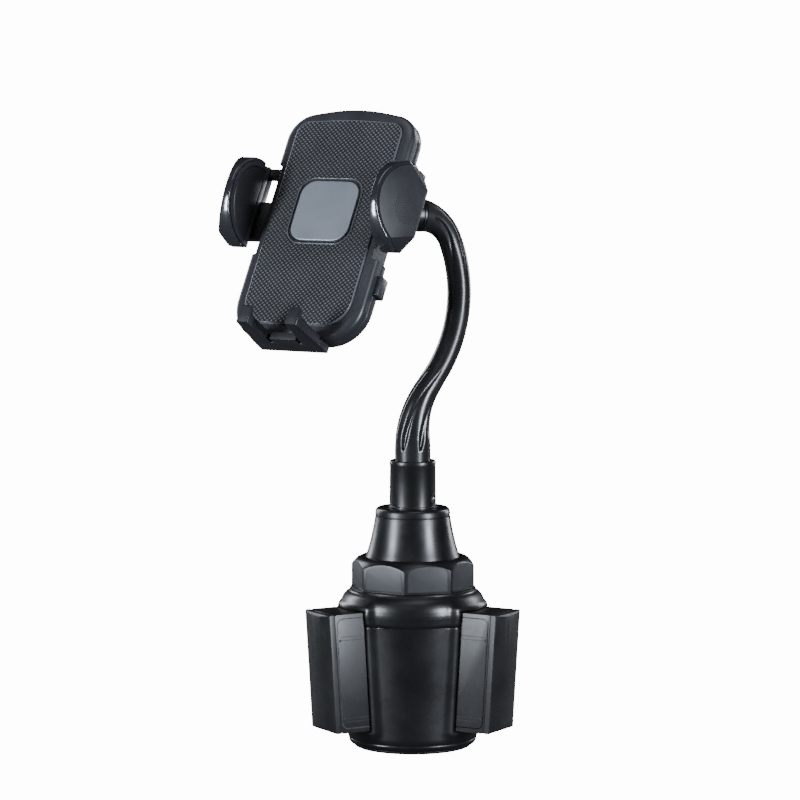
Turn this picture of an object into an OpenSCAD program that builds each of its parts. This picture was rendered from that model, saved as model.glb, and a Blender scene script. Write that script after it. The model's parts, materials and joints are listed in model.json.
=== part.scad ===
// Cup-holder phone mount: an expanding base that grips a car's cup holder, a bendable neck,
// and a tilting cradle with two spring arms and a foot. Origin: centre of the base's underside.

/* [Base] */
// Height of the cup body up to the lid's parting line
body_h = 58.5; // [56:0.5:60]
// Radius of the cup body near its foot
body_r_low = 29.6; // [29:0.1:30.5]
// Radius of the cup body at the lid's parting line
body_r_top = 32.8; // [32.4:0.1:33.4]
// Wall thickness of the cup body and lid
wall = 2; // [1.6:0.1:2.4]
// Height of the lid's top face above the ground
lid_top = 73; // [72:0.5:74]

/* [Paddles] */
// Outer radius of the paddles at mid height, opened
paddle_r = 49.6; // [48:0.1:50.2]
// Width of a paddle across its sides
paddle_w = 23; // [22:0.2:23.4]
// Underside of the paddles above the ground
paddle_z0 = 10.6; // [10:0.2:12]
// Top of the paddles above the ground
paddle_z1 = 65.2; // [62:0.2:65.4]
// Inward travel of the paddles from fully open to closed
paddle_travel = 15; // [10:0.5:15]

/* [Twist nut] */
// Radius of the octagonal nut over its corners
nut_r = 28.4; // [27:0.2:29]
// Height of the nut
nut_h = 14.6; // [13:0.2:15]
// Radial travel of a paddle per radian of nut rotation
cam_pitch = 5; // [4.8:0.1:5.2]

/* [Cone and collar] */
// Radius of the cone at its foot
cone_r1 = 22; // [21:0.1:22.2]
// Radius of the cone at its top band
cone_r2 = 17.1; // [16:0.1:18]
// Height of the cone's top above the ground
cone_top = 110.4; // [108:0.2:112]
// Height of the collar's top above the ground
collar_top = 132; // [130:0.5:136]
// Radius of the collar at its foot
collar_r = 11.1; // [10.6:0.1:11.6]

/* [Neck] */
// Compass direction of the plane in which the neck bends
neck_dir = 56.6; // [50:0.2:62]
// Radius of the thick lower end
neck_r0 = 8.2; // [7.8:0.1:8.6]
// Radius of the slim middle
neck_r1 = 5.5; // [5.2:0.1:6]
// Radius of the thick upper end
neck_r2 = 7.7; // [7.2:0.1:8]
// Height at which the first bend starts
bend_z = 142; // [140:0.5:144]
// Lean of the neck between its first two bends
lean = 35; // [30:1:36]

/* [Cradle] */
// Lean of the cradle back from the vertical
tilt = 31; // [25:1:35]
// Half the width of the cradle body
body_u = 33; // [32.5:0.1:34]
// Top edge above the middle of the centre plate
body_v1 = 53.3; // [50:0.5:56]
// Bottom edge below the middle of the centre plate
body_v0 = -62.4; // [-63:0.2:-61]
// Depth of the cradle body behind the grip pad
body_d = 14; // [14:0.2:15]

/* [Arms and foot] */
// Gap between each arm's inner face and the cradle's centre line
arm_u = 36; // [36:0.2:38]
// How far the arms reach in front of the grip pad
arm_w = 23.5; // [20:0.5:26]
// How far the foot's prongs reach in front of the grip pad
prong_w = 19; // [16:0.5:20]

/* [Hidden] */
$fn = 64;
run = 0.3;              // gap between pieces that slide past each other
fit = 0.08;             // radial clearance of a pin in its bore
paddle_n = 3;
post_r = 5.4;
pin_r = 1.9;            // follower pin of a paddle
slot_w = 2 * pin_r + 2 * run;
pin_at = 26;            // radius of the follower pins, paddles open
cam_z = 66.4;
cam_t = 3;
cam_r = 29.6;
hub_r = 21.4;           // neck of the nut that passes through the lid
ball_r = 8.5;
ball_v = 16;            // ball centre above the plate's middle
ball_w = -26.5;         // ball centre behind the grip pad
core_r = 3;             // steel core of the neck
neck_gap = 1.3;         // half the gap between two neck links
arc_a = 39;             // first bend's radius
straight = 8.9;         // straight run between the first two bends
arc_b = 64;             // second bend's radius
arc_c = 19;             // third bend's radius
turn_b = -22;           // heading where the second bend ends
turn_c = -82;           // heading where the third bend ends
stem = 31;              // from the neck's top ring to the ball's centre
gear_m = 0.9;           // tooth module
gear_n = 10;
gear_v = 12.5;          // pinion centre above the plate's middle
gear_a = 25;            // pressure angle
gear_r = gear_m * gear_n / 2;
gear_add = 0.8 * gear_m;
gear_ded = gear_m;
gear_w = -7.2;          // back face of the pinion
gear_t = 3.2;
backlash = 0.12;        // taken off each tooth flank
boss_at = 23.4;         // radius of the lid's screw posts
paddle_in = 22.5;       // inner end of an open paddle
pad_t = 2.6;            // rubber on a paddle's outer face
screw_dir = 85;         // the nut's screws sit between the cam slots
screw_at = 13.5;
cam_a0 = -1;
cam_a1 = paddle_travel / cam_pitch * 180 / PI + 1;
neck_z0 = 117;        // the neck's core starts on the post
core_gap = core_r + 0.45;
stem_r = 3.6;
socket_r = 13.4;
seat = -ball_w - body_d;  // from the ball centre to the cradle's back
notch_u = 30.2;         // side notches for the arms
notch_v0 = -22;
notch_v1 = 24.5;
bar_w = -7.2;           // back face and thickness of the fork bars
bar_t = 3.2;
bar_v = [-13.2, 5.4, 17.9, 22.4];
cheek_v = 0.8;          // centre and radius of an arm's rounded cheek
cheek_w0 = arm_w - 21.5;
cheek_r = 21.5;
cheek_t = 48.4;
trim_t = 1.8;
pad_u = 27.2;           // grip pad's half width, top and bottom
pad_v1 = 46.4;
pad_v0 = -56;
button_v = -33;
foot_u = 17;
dir = [cos(neck_dir), sin(neck_dir), 0];

// Points of the neck's centre line, as [distance along neck_dir, height]
p_a = [arc_a * (1 - cos(lean)), bend_z + arc_a * sin(lean)];
p_s = p_a + straight * [sin(lean), cos(lean)];
p_top = p_s + arc_b * [1 - cos(lean), sin(lean)];
p_b = p_top + arc_b * [cos(turn_b) - 1, -sin(turn_b)];
p_c = p_b + arc_c * [cos(turn_c) - cos(turn_b), sin(turn_b) - sin(turn_c)];
p_ball = p_c + stem * [sin(turn_c), cos(turn_c)];
ball = [p_ball[0] * dir[0], p_ball[0] * dir[1], p_ball[1]];
V = [0, sin(tilt), cos(tilt)];
N = [0, -cos(tilt), sin(tilt)];
plate = ball - ball_v * V - ball_w * N;

BLACK = [0.07, 0.07, 0.08];
CHARCOAL = [0.19, 0.20, 0.22];
GREY = [0.33, 0.34, 0.37];
PLATE = [0.52, 0.55, 0.60];
STEEL = [0.70, 0.71, 0.73];

// ---------- helpers ----------
module cradle_frame() translate(plate) rotate([90 - tilt, 0, 0]) children();
module neck_frame() rotate([0, 0, neck_dir]) children();
// a link of the neck lies in the plane x-z of neck_frame
function body_r(z) = body_r_low + (body_r_top - body_r_low) * (z - 4) / (body_h - 4);

// ---------- base ----------
module slot_cut(z_top) for (i = [0:paddle_n - 1]) rotate([0, 0, 360 / paddle_n * i])
    translate([10, -paddle_w / 2 - run, paddle_z0 - run])
        cube([40, paddle_w + 2 * run, z_top - paddle_z0 + run]);
// proud rim around each paddle's slot, following the wall
module slot_rims(z0, z1) intersection() {
    for (i = [0:paddle_n - 1]) rotate([0, 0, 360 / paddle_n * i])
        translate([24, -paddle_w / 2 - 2.2, z0]) cube([14, paddle_w + 4.4, z1 - z0]);
    children();
}
module cup_body() color(BLACK) difference() {
    union() {
        rotate_extrude() polygon([[0, 1.2], [27.4, 1.2], [28.6, 1.7], [29.2, 2.6], [body_r_low, 4],
            [body_r(body_h), body_h], [body_r(body_h) - wall, body_h], [body_r(body_h) - wall, 50],
            [body_r_low - wall, 5.5], [body_r_low - wall - 1, 4.2], [0, 4.2]]);
        slot_rims(paddle_z0 - 2.5, body_h)
            rotate_extrude() polygon([[body_r(6) - 1, 6], [body_r(6) + 1, 6],
                [body_r(body_h) + 1, body_h - 0.2], [body_r(body_h) - 1.2, body_h - 0.2]]);
        for (i = [0:2]) rotate([0, 0, 60 + 120 * i]) translate([boss_at, 0, 4]) cylinder(r = 3, h = 52);
        translate([0, 0, 2]) cylinder(r = 8.2, h = 5);
    }
    slot_cut(70);
    translate([0, 0, 5]) cylinder(r = post_r + fit, h = 3);
    cylinder(r = 2.2, h = 8);
    cylinder(r = 4.2, h = 2.4);
    for (i = [0:2]) rotate([0, 0, 60 + 120 * i]) translate([boss_at, 0, 46]) cylinder(r = 1.2 + fit, h = 13);
}
module cup_lid() color(BLACK) difference() {
    union() {
        rotate_extrude() polygon([[hub_r + run, lid_top], [24, lid_top], [24, lid_top - 0.6],
            [29.2, lid_top - 0.6], [29.2, lid_top - 1], [30.2, lid_top - 1.4],
            [31.8, 70.2], [33, 67.6], [33.4, 64], [33, 61.5], [body_r_top, body_h],
            [body_r_top - wall, body_h], [cam_r + 0.5, 65], [cam_r + 0.5, cam_z + cam_t + 0.5],
            [hub_r + run, cam_z + cam_t + 0.5]]);
        slot_rims(body_h, 67.4)
            rotate_extrude() polygon([[body_r_top - 1, body_h], [body_r_top + 1, body_h], [34.4, 64.8],
                [33, 67.4], [31, 67.4]]);
        for (i = [0:2]) rotate([0, 0, 60 + 120 * i]) {
            translate([boss_at, 0, body_h]) cylinder(r = 3.8, h = 6.8);
            translate([boss_at, -3, body_h]) cube([7.6, 6, 6.8]);
        }
    }
    slot_cut(paddle_z1 + run);
    for (i = [0:2]) rotate([0, 0, 60 + 120 * i]) {
        translate([boss_at, 0, body_h - 1]) cylinder(r = 1.55, h = 9);
        translate([boss_at, 0, 63]) cylinder(r = 2.9, h = 3);
    }
    // room for the cam disc's turning rim
    translate([0, 0, 65.3]) cylinder(r = cam_r + 0.4, h = cam_z + cam_t + 0.4 - 65.3);
}
module base_foot_pad() color(BLACK)
    rotate_extrude() polygon([[0, 0], [26.2, 0], [27, 0.5], [27, 1.2], [0, 1.2]]);
module centre_post() color(STEEL) difference() {
    union() {
        translate([0, 0, 5]) cylinder(r = post_r, h = neck_z0 - 5);
        translate([0, 0, 106]) cylinder(r = 8.4, h = 2.2);
    }
    translate([0, 0, 4]) cylinder(r = 1.6 + fit, h = 14);
}
module guide_plate() color(GREY) difference() {
    union() {
        translate([0, 0, 7]) cylinder(r = 19.8, h = 2.4);
        for (i = [0:2]) rotate([0, 0, 120 * i]) translate([8, -2, 7]) cube([18.6, 4, 5.6]);
    }
    translate([0, 0, 7]) cylinder(r = post_r + fit, h = 6);
}
module screw(d, len, head_d, head_h) {
    cylinder(r = d / 2, h = len);
    translate([0, 0, len]) difference() {
        cylinder(r = head_d / 2, h = head_h);
        translate([0, 0, head_h - 0.7]) cylinder(r = head_d * 0.26, h = 1, $fn = 6);
    }
}
module lid_screws() color(STEEL) for (i = [0:2]) rotate([0, 0, 60 + 120 * i])
    translate([boss_at, 0, 50]) screw(2.4, 13, 5, 1.7);
module post_screw() color(STEEL) translate([0, 0, 15.6]) mirror([0, 0, 1]) screw(3.2, 13.2, 7.6, 1);
module cone_cover() color(BLACK) difference() {
    rotate_extrude() polygon([[cone_r1 - 1.6, 84.6], [cone_r1 - 0.4, 84.6], [cone_r1, 86.4],
        [20.8, 90], [18.7, 98.6], [cone_r2 + 0.2, cone_top - 4], [cone_r2, cone_top - 3.6],
        [cone_r2 + 0.2, cone_top - 3.2], [cone_r2 - 0.2, cone_top - 0.8], [cone_r2 - 1.2, cone_top],
        [collar_r + 0.6, cone_top + 0.2], [collar_r + 0.6, cone_top - 0.8], [post_r + fit, cone_top - 0.8],
        [post_r + fit, cone_top - 2.2], [15, cone_top - 2.2], [16.6, 98.6], [18.8, 90]]);
}
module collar_sleeve() color(BLACK) difference() {
    translate([0, 0, cone_top - 0.8]) rotate_extrude() polygon([[neck_r0 + fit, 0], [collar_r, 0],
        [collar_r, 0.6], [10.55, collar_top - cone_top + 0.4], [10.2, collar_top - cone_top + 0.8],
        [neck_r0 + fit, collar_top - cone_top + 0.8]]);
    translate([0, 0, 114.5]) rotate([0, 90, 0]) cylinder(r = 1.9, h = 20);
}
module collar_set_screw() color(STEEL) translate([0, 0, 114.5]) rotate([0, 90, 0])
    translate([0, 0, post_r + 0.05]) difference() {
        cylinder(r = 1.8, h = 4.6);
        translate([0, 0, 3.2]) cylinder(r = 0.9, h = 3, $fn = 6);
    }

// ---------- twist nut and cam ----------
module nut_blank(r, z0, z1) intersection() {
    translate([0, 0, z0]) rotate([0, 0, 22.5]) cylinder(r = r, h = z1 - z0, $fn = 8);
    rotate_extrude() polygon([[0, z0], [r + 1, z0], [r + 1, z1 - 5.4], [r - 1, z1 - 2.9],
        [r - 2.8, z1 - 1], [r - 5, z1], [0, z1]]);
}
module twist_nut() color(BLACK) difference() {
    union() {
        nut_blank(nut_r, lid_top + 0.4, lid_top + 0.4 + nut_h);
        translate([0, 0, cam_z + cam_t]) cylinder(r = hub_r, h = 6);
    }
    translate([0, 0, lid_top + 1.8]) cylinder(r = cone_r1 + run, h = 20);
    translate([0, 0, 60]) cylinder(r = 8, h = 20);
    for (i = [0:2]) rotate([0, 0, 120 * i + screw_dir])
        translate([screw_at, 0, 60]) cylinder(r = 1.25 + fit, h = 30);
}
function cam_pt(a, off) = let (r = pin_at - cam_pitch * a * PI / 180, n = a + atan(cam_pitch / r))
    [r * cos(a) + off * cos(n), r * sin(a) + off * sin(n)];
module cam_slot() {
    polygon(concat([for (k = [0:36]) cam_pt(cam_a0 + (cam_a1 - cam_a0) * k / 36, slot_w / 2)],
        [for (k = [36:-1:0]) cam_pt(cam_a0 + (cam_a1 - cam_a0) * k / 36, -slot_w / 2)]));
    for (a = [cam_a0, cam_a1]) translate(cam_pt(a, 0)) circle(slot_w / 2);
}
module cam_disc() color(GREY) difference() {
    translate([0, 0, cam_z]) cylinder(r = cam_r, h = cam_t);
    translate([0, 0, cam_z - 1]) linear_extrude(cam_t + 2)
        for (i = [0:2]) rotate([0, 0, 120 * i]) cam_slot();
    translate([0, 0, cam_z - 1]) cylinder(r = post_r + run, h = cam_t + 2);
    for (i = [0:2]) rotate([0, 0, 120 * i + screw_dir])
        translate([screw_at, 0, 60]) cylinder(r = 1.25 + fit, h = 12);
}
module nut_screws() color(STEEL) for (i = [0:2]) rotate([0, 0, 120 * i + screw_dir])
    translate([screw_at, 0, cam_z + 0.4]) screw(2.5, lid_top + 1.8 - cam_z - 0.4, 4.6, 1.4);
module thrust_washer() color(STEEL) translate([0, 0, lid_top - 0.55]) difference() {
    cylinder(r = 28.9, h = 0.8);
    translate([0, 0, -1]) cylinder(r = 24.2, h = 3);
}

// ---------- paddles ----------
function paddle_out(z) = paddle_r + (z - (paddle_z0 + paddle_z1) / 2) * 0.0623;
// side outline of a paddle, cut back by inset at its outer end, with rounded outer corners
module paddle_side(x0, inset, r) polygon(concat([[x0, paddle_z0]],
    [for (a = [-90:15:0]) [paddle_out(paddle_z0) - inset - r + r * cos(a), paddle_z0 + r + r * sin(a)]],
    [for (a = [0:15:90]) [paddle_out(paddle_z1) - inset - r + r * cos(a), paddle_z1 - r + r * sin(a)]],
    [[x0, paddle_z1]]));
module paddle_slab(x0, inset, r, w) translate([0, w / 2, 0]) rotate([90, 0, 0])
    linear_extrude(w) paddle_side(x0, inset, r);
// solid of revolution whose side is the curve of a cup's wall
module cup_curve(inset) rotate_extrude() polygon([[0, paddle_z0 - 1], [paddle_out(paddle_z0 - 1) - inset,
    paddle_z0 - 1], [paddle_out(paddle_z1 + 1) - inset, paddle_z1 + 1], [0, paddle_z1 + 1]]);
module paddle_box(i) color(GREY) rotate([0, 0, 120 * (i - 1)]) difference() {
    intersection() {
        paddle_slab(paddle_in, pad_t, 3, paddle_w);
        cup_curve(pad_t + 0.05);
    }
    translate([paddle_in - 1, -paddle_w / 2 + 1.8, paddle_z0 + 5])
        cube([paddle_r - pad_t - 2.6 - paddle_in + 1, paddle_w - 3.6, paddle_z1 - paddle_z0 - 11]);
    translate([paddle_in - 1, -2 - run, paddle_z0 - 1]) cube([23, 4 + 2 * run, 1 + 2 + run]);
    translate([pin_at, 0, paddle_z1 - 4]) cylinder(r = pin_r + fit, h = 6);
}
module paddle_pad(i) color(BLACK) rotate([0, 0, 120 * (i - 1)]) difference() {
    intersection() {
        paddle_slab(36, 0, 2.2, paddle_w);
        cup_curve(0);
    }
    cup_curve(pad_t);
}
module paddle_pin(i) color(STEEL) rotate([0, 0, 120 * (i - 1)])
    translate([pin_at, 0, paddle_z1 - 4]) cylinder(r = pin_r, h = cam_z + cam_t - 0.4 - paddle_z1 + 4);
module paddle_1_box() paddle_box(1);
module paddle_2_box() paddle_box(2);
module paddle_3_box() paddle_box(3);
module paddle_1_pad() paddle_pad(1);
module paddle_2_pad() paddle_pad(2);
module paddle_3_pad() paddle_pad(3);
module paddle_1_pin() paddle_pin(1);
module paddle_2_pin() paddle_pin(2);
module paddle_3_pin() paddle_pin(3);

// ---------- neck ----------
// point of the centre line and the lean there, for link n and t from 0 to 1
function link_lean(n, t) = n == 0 ? 0 : n == 1 ? lean * min(1, t / 0.72)
    : n == 2 ? lean * (1 - t) : n == 3 ? turn_b * t : turn_b + (turn_c - turn_b) * t;
function link_pt(n, t) = let (a = link_lean(n, t))
    n == 0 ? [0, neck_z0 + (bend_z - neck_z0) * t]
    : n == 1 ? [arc_a * (1 - cos(a)), bend_z + arc_a * sin(a)]
        + max(0, (t - 0.72) / 0.28) * straight * [sin(a), cos(a)]
    : n < 4 ? p_top + arc_b * [cos(a) - 1, -sin(a)]
    : p_b + arc_c * [cos(a) - cos(turn_b), sin(turn_b) - sin(a)];
link_len = [bend_z - neck_z0, arc_a * lean * PI / 180 + straight, arc_b * lean * PI / 180,
    -arc_b * turn_b * PI / 180, arc_c * (turn_b - turn_c) * PI / 180];
function link_r(n, t) = n == 0 ? neck_r0 : n == 1 ? neck_r1 + (neck_r0 - neck_r1) * pow(1 - t, 1.6)
    : n < 4 ? neck_r1 : neck_r1 + (neck_r2 - neck_r1) * pow(t, 1.6);
// ring k of a tube around a link: sides points, radius r
function ring(n, t, r, sides) = let (p = link_pt(n, t), a = link_lean(n, t))
    [for (k = [0:sides - 1]) let (c = r * cos(360 * k / sides), s = r * sin(360 * k / sides))
        [p[0] + c * cos(a), s, p[1] - c * sin(a)]];
module neck_sleeve(n, t0, t1, rings) {
    sides = 20;
    ts = [for (k = [0:rings]) t0 + (t1 - t0) * k / rings];
    loops = concat([for (t = ts) ring(n, t, link_r(n, t), sides)],
        [for (k = [rings:-1:0]) ring(n, ts[k], core_r + 0.2, sides)]);
    count = len(loops);
    neck_frame() polyhedron([for (l = loops) each l],
        [for (k = [0:count - 1], j = [0:sides - 1]) let (m = (k + 1) % count, i = (j + 1) % sides)
            [k * sides + j, m * sides + j, m * sides + i, k * sides + i]]);
}
module core_bend(centre, r, a0, a1) translate([centre[0], 0, centre[1]]) rotate([90, 0, 0])
    rotate([0, 0, a0]) rotate_extrude(angle = a1 - a0) translate([r, 0]) circle(core_r);
module core_rod(p, a, r, z0, z1) translate([p[0], 0, p[1]]) rotate([0, a, 0]) translate([0, 0, z0])
    cylinder(r = r, h = z1 - z0);
module core_ball(p) translate([p[0], 0, p[1]]) sphere(core_r + 0.15);
function gap_deg(r, gap) = gap / r * 180 / PI;
module neck_core_0() color(STEEL) neck_frame() {
    core_rod([0, neck_z0], 0, core_r, 0, bend_z - neck_z0);
    core_ball([0, bend_z]);
}
module neck_core_1() color(STEEL) neck_frame() {
    core_bend([arc_a, bend_z], arc_a, 180 - lean, 180 - gap_deg(arc_a, core_gap));
    core_rod(p_a, lean, core_r - 0.2, -2, straight);
    core_ball(p_s);
}
module neck_core_2() color(STEEL) neck_frame() {
    core_bend(p_top - [arc_b, 0], arc_b, -lean + gap_deg(arc_b, core_gap), 0);
    core_ball(p_top);
}
module neck_core_3() color(STEEL) neck_frame() {
    core_bend(p_top - [arc_b, 0], arc_b, gap_deg(arc_b, core_gap), -turn_b);
    core_ball(p_b);
}
module neck_core_4() color(STEEL) neck_frame()
    core_bend(p_b - arc_c * [cos(turn_b), -sin(turn_b)], arc_c, -turn_b + gap_deg(arc_c, core_gap), -turn_c);
module neck_sleeve_0() color(BLACK) neck_sleeve(0, 0.02, 1 - neck_gap / link_len[0], 2);
module neck_sleeve_1() color(BLACK) neck_sleeve(1, neck_gap / link_len[1], 1 - neck_gap / link_len[1], 12);
module neck_sleeve_2() color(BLACK) neck_sleeve(2, neck_gap / link_len[2], 1 - neck_gap / link_len[2], 10);
module neck_sleeve_3() color(BLACK) neck_sleeve(3, neck_gap / link_len[3], 1 - neck_gap / link_len[3], 7);
module neck_sleeve_4() color(BLACK) neck_sleeve(4, neck_gap / link_len[4], 1, 10);
// frame with +z from the neck's top ring towards the ball
module stem_frame() neck_frame() translate([p_c[0], 0, p_c[1]]) rotate([0, turn_c, 0]) children();
module neck_end_cap() color(BLACK) stem_frame() difference() {
    rotate_extrude() polygon([[0, 0.05], [neck_r2 - 0.6, 0.05], [neck_r2 - 0.1, 0.6], [neck_r2, 1.2],
        [7.3, 11], [6.8, 14.4], [5.4, 16.2], [0, 16.2]]);
    translate([0, 0, 4]) cylinder(r = stem_r + fit, h = 20);
}
module ball_stud() color(STEEL) stem_frame() {
    translate([0, 0, 4]) cylinder(r = stem_r, h = stem - 4);
    translate([0, 0, stem]) sphere(ball_r);
}

// ---------- ball joint ----------
module ball_at() cradle_frame() translate([0, ball_v, ball_w]) children();
// ring cut from a hollow ball: between radii r0 and r1, heights z0 and z1
module ball_zone(r0, r1, z0, z1) difference() {
    intersection() {
        sphere(r1);
        translate([0, 0, z0]) cylinder(r = 20, h = z1 - z0);
    }
    sphere(r0);
}
module ball_liner() color(GREY) ball_at() ball_zone(ball_r + run, ball_r + 1.2, 4.5, 7.4);
module pressure_ring() color(STEEL) ball_at() ball_zone(ball_r + 1.5, ball_r + 2.4, 6.4, 9.2);
module ball_socket() color(BLACK) ball_at() difference() {
    union() {
        translate([0, 0, -1.4]) cylinder(r = socket_r, h = seat + 1.4);
        translate([0, 0, seat - 3.4]) cylinder(r = 18.6, h = 3.4);
        translate([0, 0, seat - 0.1]) cylinder(r = 8, h = 2.3);
    }
    sphere(ball_r + 2.7);
    translate([0, 0, -20]) cylinder(r = ball_r + 2.7, h = 20);
    for (a = [45:90:315]) rotate([0, 0, a]) translate([16.2, 0, 5]) cylinder(r = 1 + fit, h = 12);
}
module clamp_nut() color(BLACK) ball_at() difference() {
    union() {
        translate([0, 0, -4.2]) cylinder(r = 16, h = 11.2);
        for (a = [0:30:330]) rotate([0, 0, a]) translate([15.7, 0, -3.6]) cylinder(r = 1.6, h = 10);
    }
    translate([0, 0, -1.7]) cylinder(r = socket_r + run, h = 20);
    rotate_extrude() polygon([[0, -5], [9.9, -5], [9.5, -4.2], [8.25, -3], [8.6, -2.4], [9.4, -1.6], [0, -1.6]]);
}
module socket_screws() color(STEEL) ball_at() for (a = [45:90:315]) rotate([0, 0, a])
    translate([16.2, 0, seat + 1.8]) mirror([0, 0, 1]) screw(2, 5.2, 3.6, 1);

// ---------- cradle ----------
function arc_pts(c, r, a0, a1, n) = [for (k = [0:n]) c + r * [cos(a0 + (a1 - a0) * k / n),
    sin(a0 + (a1 - a0) * k / n)]];
// right half of the body's outline, from the bottom middle to the top middle, shrunk by inset
function body_half(i) = let (u = body_u - i, v1 = body_v1 - i, v0 = body_v0 + i, r1 = 13, r0 = 17)
    concat([[0, v0]], arc_pts([u - r0, v0 + r0], r0, -90, 0, 10), arc_pts([u - r1, v1 - 2.4 - r1], r1, 0, 78, 8),
        [for (x = [14:-4:2]) [x, v1 - 0.006 * x * x]]);
module body_outline(i) polygon(concat(body_half(i),
    [for (k = [len(body_half(i)) - 1:-1:1]) [-body_half(i)[k][0], body_half(i)[k][1]]]));
// slab of the body between two depths
module slab(w0, w1) translate([0, 0, w0]) linear_extrude(w1 - w0) children();
// outline of the room inside, with walls left around the side notches
module room_outline() difference() {
    body_outline(3);
    for (s = [-1, 1]) translate([s > 0 ? notch_u - 2.2 : -notch_u - 10, notch_v0 - 2.2])
        square([12.2, notch_v1 - notch_v0 + 4.4]);
}
module side_notches() for (s = [-1, 1]) translate([s > 0 ? notch_u : -notch_u - 10, notch_v0, -30])
    cube([10, notch_v1 - notch_v0, 40]);
// channels for the bars of both arms' forks, open to the sides
module bar_channels() {
    for (s = [-1, 1]) {
        translate([s > 0 ? 12 : -42, bar_v[0] - 0.4, bar_w - 0.4]) cube([30, 22.7, bar_t + 0.8]);
        translate([s > 0 ? 12 : -42, bar_v[2] - 2, bar_w - 0.4]) cube([30, 6.9, bar_t + 0.8]);
    }
}
module cradle_front() color(CHARCOAL) cradle_frame() difference() {
    union() {
        slab(-7, -3) body_outline(0);
        slab(-3, -1.9) body_outline(0.8);
        slab(-1.9, -1.3) body_outline(2);
    }
    // pad recess and room inside
    slab(-1.6, 0) pad_outline(-0.1);
    difference() {
        slab(-8, -3.4) room_outline();
        corner_bosses() translate([0, 0, -9]) cylinder(r = 2.8, h = 9);
    }
    corner_bosses() translate([0, 0, -9]) cylinder(r = 1.2 + fit, h = 5.2);
    translate([0, gear_v, -4]) cylinder(r = 1.5 + fit, h = 1.8);
    side_notches();
    bar_channels();
    translate([27.4, button_v - 5.4, -12.4]) cube([12, 10.8, 6.8]);
    translate([-foot_u - 0.4, body_v0 - 1, -9.8]) cube([2 * foot_u + 0.8, 12, 4.8]);
}
module cradle_back() color(CHARCOAL) cradle_frame() difference() {
    union() {
        slab(-10.5, -7.02) body_outline(0);
        slab(-12.3, -10.5) body_outline(1);
        slab(-body_d, -12.3) body_outline(3);
    }
    difference() {
        slab(-11.8, -6) room_outline();
        corner_bosses() translate([0, 0, -13]) cylinder(r = 2.8, h = 5.98);
    }
    corner_bosses() {
        translate([0, 0, -13]) cylinder(r = 1.2 + fit, h = 8);
        translate([0, 0, -15]) cylinder(r = 2.4, h = 3);
    }
    ball_screw_holes();
    side_notches();
    bar_channels();
    translate([27.4, button_v - 5.4, -12.4]) cube([12, 10.8, 6.8]);
    translate([-foot_u - 0.4, body_v0 - 1, -9.8]) cube([2 * foot_u + 0.8, 12, 4.8]);
    translate([0, ball_v, -body_d - 1]) cylinder(r = 8 + fit, h = 4);
}
module corner_bosses() for (u = [-22, 22], v = [-46, 40]) translate([u, v, 0]) children();
module ball_screw_holes() translate([0, ball_v, -16]) for (a = [45:90:315]) rotate([0, 0, a])
    translate([16.2, 0, 0]) cylinder(r = 1 + fit, h = 4.6);
module shell_screws() color(STEEL) cradle_frame() corner_bosses()
    translate([0, 0, -4.2]) mirror([0, 0, 1]) screw(2.4, 7.8, 4.4, 1.5);
module pad_outline(i) polygon(concat(
    arc_pts([pad_u - 12 - i, pad_v0 + 12 + i], 12, -90, 0, 8), arc_pts([pad_u - 6 - i, pad_v1 - 7 - i], 6, 0, 80, 6),
    [for (x = [14, 6, 0, -6, -14]) [x, pad_v1 - i - 0.003 * x * x]],
    arc_pts([-pad_u + 6 + i, pad_v1 - 7 - i], 6, 100, 180, 6),
    arc_pts([-pad_u + 12 + i, pad_v0 + 12 + i], 12, 180, 270, 8)));
module round_square(h, r) {
    square([2 * h - 2 * r, 2 * h], center = true);
    square([2 * h, 2 * h - 2 * r], center = true);
    for (x = [-1, 1], y = [-1, 1]) translate([x * (h - r), y * (h - r)]) circle(r);
}
module grip_pad() color(CHARCOAL) cradle_frame() difference() {
    slab(-1.55, 0) pad_outline(0);
    slab(-0.9, 1) round_square(16.4, 8);
}
module centre_plate() color(PLATE) cradle_frame() slab(-0.88, 0.25) round_square(15.2, 7);
module pinion_axle() color(STEEL) cradle_frame() translate([0, gear_v, -11.45]) cylinder(r = 1.5, h = 9.1);

// ---------- arms ----------
function inv(r, rb) = let (a = acos(rb / r)) tan(a) * 180 / PI - a;
base_r = gear_r * cos(gear_a);
tooth_half = 90 / gear_n + inv(gear_r, base_r) - backlash / gear_r * 180 / PI;
function flank(s) = [for (k = [0:5]) let (r = base_r + (gear_r + gear_add - base_r) * k / 5,
    a = s * (tooth_half - inv(r, base_r))) [r * cos(a), r * sin(a)]];
module pinion_tooth() polygon(concat([[0, 0], (gear_r - gear_ded) * [cos(tooth_half), -sin(tooth_half)]],
    flank(-1), [for (k = [5:-1:0]) flank(1)[k]], [(gear_r - gear_ded) * [cos(tooth_half), sin(tooth_half)]]));
module arm_pinion() color(GREY) cradle_frame() translate([0, gear_v, gear_w]) difference() {
    linear_extrude(gear_t) {
        circle(gear_r - gear_ded);
        for (k = [0:gear_n - 1]) rotate(360 / gear_n * k + 90) pinion_tooth();
    }
    translate([0, 0, -1]) cylinder(r = 1.5 + fit, h = 10);
}
// rack teeth along u, pointing up, pitch line at 0, with a tooth space centred on u = 0
module rack_teeth(u0, u1) for (k = [ceil(u0 / pitch):floor(u1 / pitch) - 1])
    translate([(k + 0.5) * pitch, 0]) polygon([for (p = [[-1, -gear_ded - 0.2], [-1, gear_add], [1, gear_add],
        [1, -gear_ded - 0.2]]) [p[0] * (pitch / 4 - backlash - p[1] * tan(gear_a)), p[1]]]);
pitch = PI * gear_m;
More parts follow.
